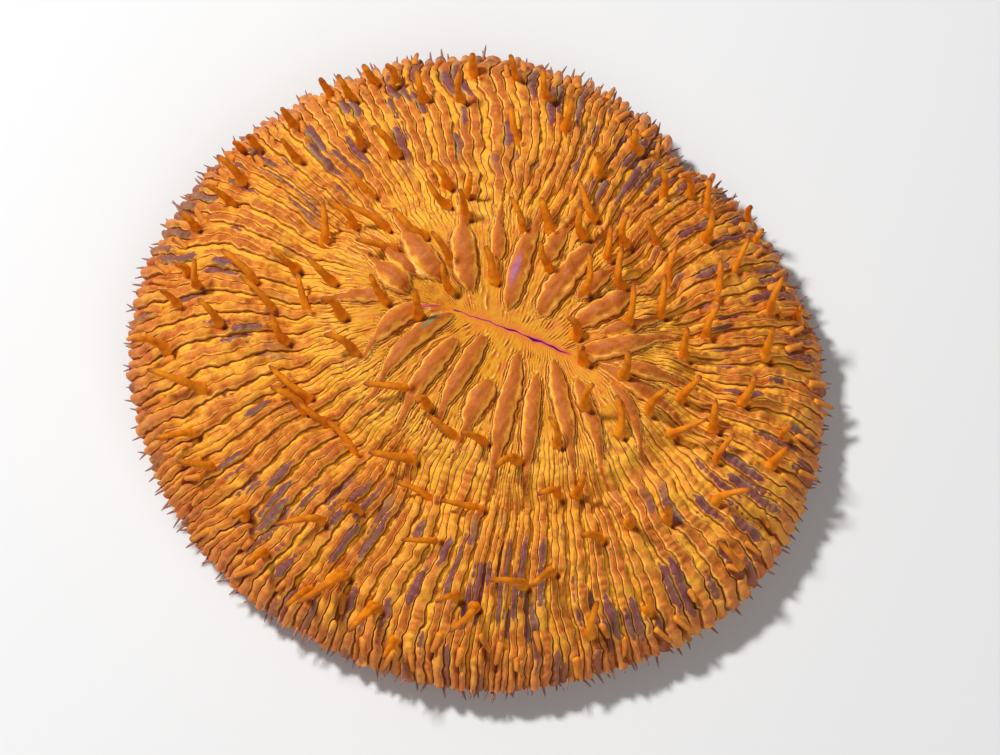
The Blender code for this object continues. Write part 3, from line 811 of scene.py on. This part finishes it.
def throatPoints():
    # The lips run down to a closed slit: the ellipse narrows as it sinks.
    depth = np.linspace(0, 1, mouthForm["rows"])[:, None] ** 1.3
    turn = np.meshgrid(gridTurns[0], depth[:, 0])[0]
    x, y = lipPoint(turn, coralForm["mouthHalfLength"] * (1 - 0.12 * depth), lipWidth(turn) * (1 - 0.7 * depth))
    z = points[0][:, 2][None] - coralForm["throatDepth"] * depth
    return np.stack([x, y, z], axis=-1)[::-1]


throat = throatPoints()
even = np.ones(throat.shape[:2])
ringSheet("mouth", throat, dict({key: even * 0 for key in fleshKeys}, patch=-even, lip=even), fleshMaterial)
print("mouth built")

underForm = {
    "ribDepth": 0.55, "rows": 18, "flatShare": 0.60, "drawnIn": 0.45,
    "shares": (0.0, 0.60, 0.68, 0.78, 0.88, 0.955, 0.985, 1.0),
    "heights": (0.0, 0.0, 0.12, 0.95, 1.75, 2.6, 3.2, 0.0),
    "edgeShare": 0.985, "edgeHeight": 3.2,  # from here the height runs up to the rim of the upper side
}


def underPoints():
    # From the rim, in along the flat outline: the height falls along a smooth curve, with ribs that fade inwards.
    flat, edgeShare, edgeHeight = underForm["flatShare"], underForm["edgeShare"], underForm["edgeHeight"]
    reach = np.concatenate([np.linspace(1.0, flat, underForm["rows"]), np.linspace(flat, 0.08, 6)[1:]])
    turn, part = np.meshgrid(gridTurns[-1], reach)
    edge = np.hypot(points[-1][:, 0] - coralForm["centre"][0], points[-1][:, 1] - coralForm["centre"][1])
    bearing = bearingAt(turn)
    plain = rimReach(np.degrees(bearing)) - ridgeForm["spikeReach"] - underForm["drawnIn"]
    mix = ramp(part, 0.90, 0.10)
    x, y = fromMiddle(part * (edge[None] * mix + plain * (1 - mix)), bearing)
    z = smoothThrough(underForm["shares"], underForm["heights"], part)
    toRim = edgeHeight + (points[-1][:, 2][None] - edgeHeight) * (part - edgeShare) / (1 - edgeShare)
    z = np.where(part > edgeShare, toRim, z)
    crest = np.clip(1.2 - field["band"][-1], 0, 1)[None]
    rib = underForm["ribDepth"] * crest * ramp(part, 0.66, 0.12) * (1 - ramp(part, 0.955, 0.03))
    return np.stack([x, y, np.maximum(z - rib, 0.0)], axis=-1), 1 - part


under, inward = underPoints()
underBand = np.broadcast_to(field["band"][-1], inward.shape)
middle = (*coralForm["centre"], 0.0)
ringSheet("underside", under, {"inward": inward, "band": underBand}, makeUnderSkin(), endPoint=middle)
print("underside built")


# Rings of points round lines: place + radius * (first * cos + second * sin), with two directions across the line.
def ringsRound(line, radius, first, second, sides):
    angle = 2 * math.pi * np.arange(sides)[:, None] / sides
    ring = first[:, :, None] * np.cos(angle) + second[:, :, None] * np.sin(angle)
    return line[:, :, None] + ring * radius[:, :, None, None]


# Two directions across each line, the first of them square to a given one as well.
def acrossLine(line, given):
    ahead = np.gradient(line, axis=1)
    ahead /= np.linalg.norm(ahead, axis=-1, keepdims=True)
    first = np.cross(ahead, np.array(given))
    first /= np.linalg.norm(first, axis=-1, keepdims=True)
    return first, np.cross(ahead, first)


# Many separate tubes in one mesh: tubes by rings by sides, each closed at both ends.
def manyTubes(name, body, s, material):
    tubes, rings, sides = body.shape[:3]
    side = np.arange(sides)
    nextSide = (side + 1) % sides
    ringStart = np.arange(rings - 1)[:, None] * sides
    tubeStart = (np.arange(tubes) * rings * sides)[:, None, None]
    ahead = ringStart + sides
    quads = np.stack([ringStart + side, ringStart + nextSide, ahead + nextSide, ahead + side], -1)
    quads = quads.reshape(-1, 4)[None] + tubeStart
    caps = np.stack([side[::-1], (rings - 1) * sides + side])[None] + tubeStart
    loops = np.concatenate([quads.ravel(), caps.ravel()])
    quadCount, capCount = quads.shape[0] * quads.shape[1], tubes * 2
    starts = np.concatenate([np.arange(quadCount) * 4, quadCount * 4 + np.arange(capCount) * sides])
    totals = np.concatenate([np.full(quadCount, 4), np.full(capCount, sides)])
    up = np.broadcast_to(s[None, :, None], body.shape[:3])
    return meshPiece(name, body.reshape(-1, 3) * mm, loops, starts, totals, {"up": up}, material)


def buildTentacles():
    # Each tentacle is a tube along a curve: foot + s * rise + s^2 * lean, with a radius that falls from the
    # flared foot to a rounded tip.
    places = np.array(tentacleForm["places"], float)
    feet = places[:, :2] + np.array(coralForm["centre"])[None]
    flat = points.reshape(-1, 3)
    nearest = np.array([np.argmin((flat[:, 0] - x) ** 2 + (flat[:, 1] - y) ** 2) for x, y in feet])
    base = flat[nearest].copy()
    base[:, :2] = feet
    total = random.uniform(*tentacleForm["length"], len(places))
    seen, bearing = places[:, 2], np.radians(places[:, 3] + random.uniform(-6, 6, len(places)))
    total = np.maximum(total * np.where(seen < 2.1, 0.75, 1), seen * 1.12)
    up = np.sqrt(np.maximum(total**2 - seen**2, (0.42 * total) ** 2))
    # what the tilted view shows of the rise is taken out of the seen length
    reachX = seen * np.cos(bearing)
    reachY = (seen * np.sin(bearing) - tentacleForm["viewCosine"] * up) / tentacleForm["viewSine"]

    s = 1 - (1 - np.linspace(0, 1, tentacleForm["rings"])) ** 1.5
    bend, steady, sunk = s**1.6, 1 - (1 - s) ** 1.5, tentacleForm["sunk"]
    sideways = random.uniform(-0.5, 0.5, (len(places), 2, 1)) * np.sin(math.pi * s)[None, None]
    line = np.stack([
        base[:, None, 0] + reachX[:, None] * bend + sideways[:, 0],
        base[:, None, 1] + reachY[:, None] * bend + sideways[:, 1],
        base[:, None, 2] - sunk + (up[:, None] + sunk) * steady,
    ], axis=-1)
    radius = tentacleForm["tip"] + (tentacleForm["waist"] - tentacleForm["tip"]) * (1 - s) ** 0.9
    radius = radius + (tentacleForm["foot"] - tentacleForm["waist"]) * bell(s, 0.13)
    radius = radius * np.sqrt(np.clip(1 - (np.maximum(s - 0.9, 0) / 0.1) ** 2.2, 0, 1))
    wobble = 1 + 0.07 * np.sin(s[None] * 19 + random.uniform(0, 6.28, (len(places), 1)))
    radius = radius[None] * wobble * random.uniform(0.85, 1.1, (len(places), 1))
    body = ringsRound(line, radius, *acrossLine(line, (0.31, -0.95, 0.05)), tentacleForm["sides"])
    manyTubes("tentacles", body, s, makeTentacleSkin("tentacle"))


buildTentacles()
print("tentacles built")


def buildTabs():
    # Each tab follows the falling slope just above it, from a foot sunk in the flesh to a blunt tip.
    turn, share, length, swing = (values[:, None] for values in tabs)
    s = np.linspace(0, 1, tabForm["rings"])
    footX, footY = groundPoint(turn, share, ridgeForm["spikeReach"])
    out = bearingAt(turn) + swing * (1 + 0.6 * s)
    reach = length * s
    at = np.minimum(share + reach / tabForm["lineLength"], 1.0)
    z = smoothThrough(coralForm["heightShares"], coralForm["heights"], at) + 0.55 + tabForm["lift"] * np.sqrt(s)
    line = np.stack([footX + reach * np.cos(out), footY + reach * np.sin(out), z], axis=-1)
    radius = tabForm["tip"] + (tabForm["foot"] - tabForm["tip"]) * (1 - s) ** 0.8
    radius = radius * np.sqrt(np.clip(1 - (np.maximum(s - 0.8, 0) / 0.2) ** 2.2, 0, 1))
    radius = radius[None] * random.uniform(0.8, 1.15, (tabForm["count"], 1))
    body = ringsRound(line, radius, *acrossLine(line, (0.0, 0.0, 1.0)), tabForm["sides"])
    manyTubes("rimTabs", body, s, makeTentacleSkin("tab"))


buildTabs()
print("rim tabs built")

spikeForm = {
    "count": 216, "length": (1.5, 2.4), "heights": (2.9, 4.4), "radius": 0.17, "pointRadius": 0.04,
    "sides": 8, "rings": 7,
}


def buildSpikes():
    # Blunt cones that lie outwards from the ridge ends, with a slight curve.
    count = spikeForm["count"]
    turn = (np.arange(count) + random.uniform(-0.35, 0.35, count)) * coralForm["ridges"] / count
    bearing = bearingAt(turn)
    tip = rimReach(np.degrees(bearing)) + random.uniform(-0.4, 0.15, count)
    length = random.uniform(*spikeForm["length"], count)
    height = random.uniform(*spikeForm["heights"], count)
    s = np.linspace(0, 1, spikeForm["rings"])
    reach = tip[:, None] - length[:, None] * (1 - s)[None]
    turnAside = bearing[:, None] + random.uniform(-0.025, 0.025, count)[:, None] * s[None]
    z = height[:, None] + random.uniform(-0.6, 0.4, count)[:, None] * s[None] ** 1.5
    line = np.stack([*fromMiddle(reach, turnAside), z], axis=-1)
    outward = np.stack([np.cos(bearing), np.sin(bearing), np.zeros(count)], axis=-1)[:, None]
    upward = np.array([0.0, 0.0, 1.0])[None, None]
    radius = spikeForm["radius"] * (1 - s)[None] ** 0.6 + spikeForm["pointRadius"]
    body = ringsRound(line, radius, upward, -np.cross(outward, upward), spikeForm["sides"])
    manyTubes("rimSpikes", body, s, makeSpikeSkin())


buildSpikes()
print("rim spikes built")

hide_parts("mushroom_coral")

studio = {
    "floor": (0.80, 0.80, 0.80, 1), "floorHalfSide": 2.0, "ambient": 0.13,
    "key": {"place": (-0.24, 0.17, 0.44), "power": 2.75, "size": 0.06},
    "fill": {"place": (0.18, -0.38, 0.42), "power": 0.95, "size": 0.5},
    "viewHeight": 73.0, "focalPixels": 3500, "pixelsPerMm": 9.36, "sensorWidth": 36,
    "aim": (0.0, 0.0, 4.0), "aimPixel": (475.5, 364.5), "pictureMiddle": (500, 377.5),
}


def buildFloor():
    side = studio["floorHalfSide"]
    mesh = bpy.data.meshes.new("floor")
    mesh.from_pydata([(-side, -side, 0), (side, -side, 0), (side, side, 0), (-side, side, 0)], [], [(0, 1, 2, 3)])
    floor = bpy.data.objects.new("floor", mesh)
    bpy.context.scene.collection.objects.link(floor)
    material = bpy.data.materials.new("pale floor")
    material.use_nodes = True
    surface = material.node_tree.nodes["Principled BSDF"]
    surface.inputs["Base Color"].default_value = studio["floor"]
    surface.inputs["Roughness"].default_value = 0.9
    mesh.materials.append(material)


def placedAt(place, right, up, back):
    return Matrix([[right[i], up[i], back[i], place[i]] for i in range(3)] + [[0, 0, 0, 1]])


def buildLight(name):
    look = studio[name]
    light = bpy.data.lights.new(name + " light", "AREA")
    light.energy, light.size = look["power"], look["size"]
    lamp = bpy.data.objects.new(name + " light", light)
    bpy.context.scene.collection.objects.link(lamp)
    place = np.array(look["place"])
    back = place / np.linalg.norm(place)
    right = np.cross([0, 1, 0.01], back)
    right /= np.linalg.norm(right)
    lamp.matrix_world = placedAt(place, right, np.cross(back, right), back)


def buildCamera():
    view, scale = math.radians(studio["viewHeight"]), studio["pixelsPerMm"]
    (aimX, aimY), (middleX, middleY) = studio["aimPixel"], studio["pictureMiddle"]
    right, up = np.array([1.0, 0, 0]), np.array([0, math.sin(view), math.cos(view)])
    back = np.array([0, -math.cos(view), math.sin(view)])
    place = np.array(studio["aim"]) + back * studio["focalPixels"] / scale
    place = place - right * (aimX - middleX) / scale - up * (middleY - aimY) / scale
    camera = bpy.data.cameras.new("camera")
    camera.sensor_width = studio["sensorWidth"]
    camera.lens = studio["sensorWidth"] * studio["focalPixels"] / (2 * middleX)
    camera.clip_start = 0.01
    holder = bpy.data.objects.new("camera", camera)
    bpy.context.scene.collection.objects.link(holder)
    holder.matrix_world = placedAt(place * mm, right, up, back)
    bpy.context.scene.camera = holder


buildFloor()
buildLight("key")
buildLight("fill")
buildCamera()
world = bpy.data.worlds.new("studio")
world.use_nodes = True
world.node_tree.nodes["Background"].inputs["Color"].default_value = (1, 1, 1, 1)
world.node_tree.nodes["Background"].inputs["Strength"].default_value = studio["ambient"]
bpy.context.scene.world = world
bpy.context.scene.view_settings.view_transform = "Standard"
print("studio ready")
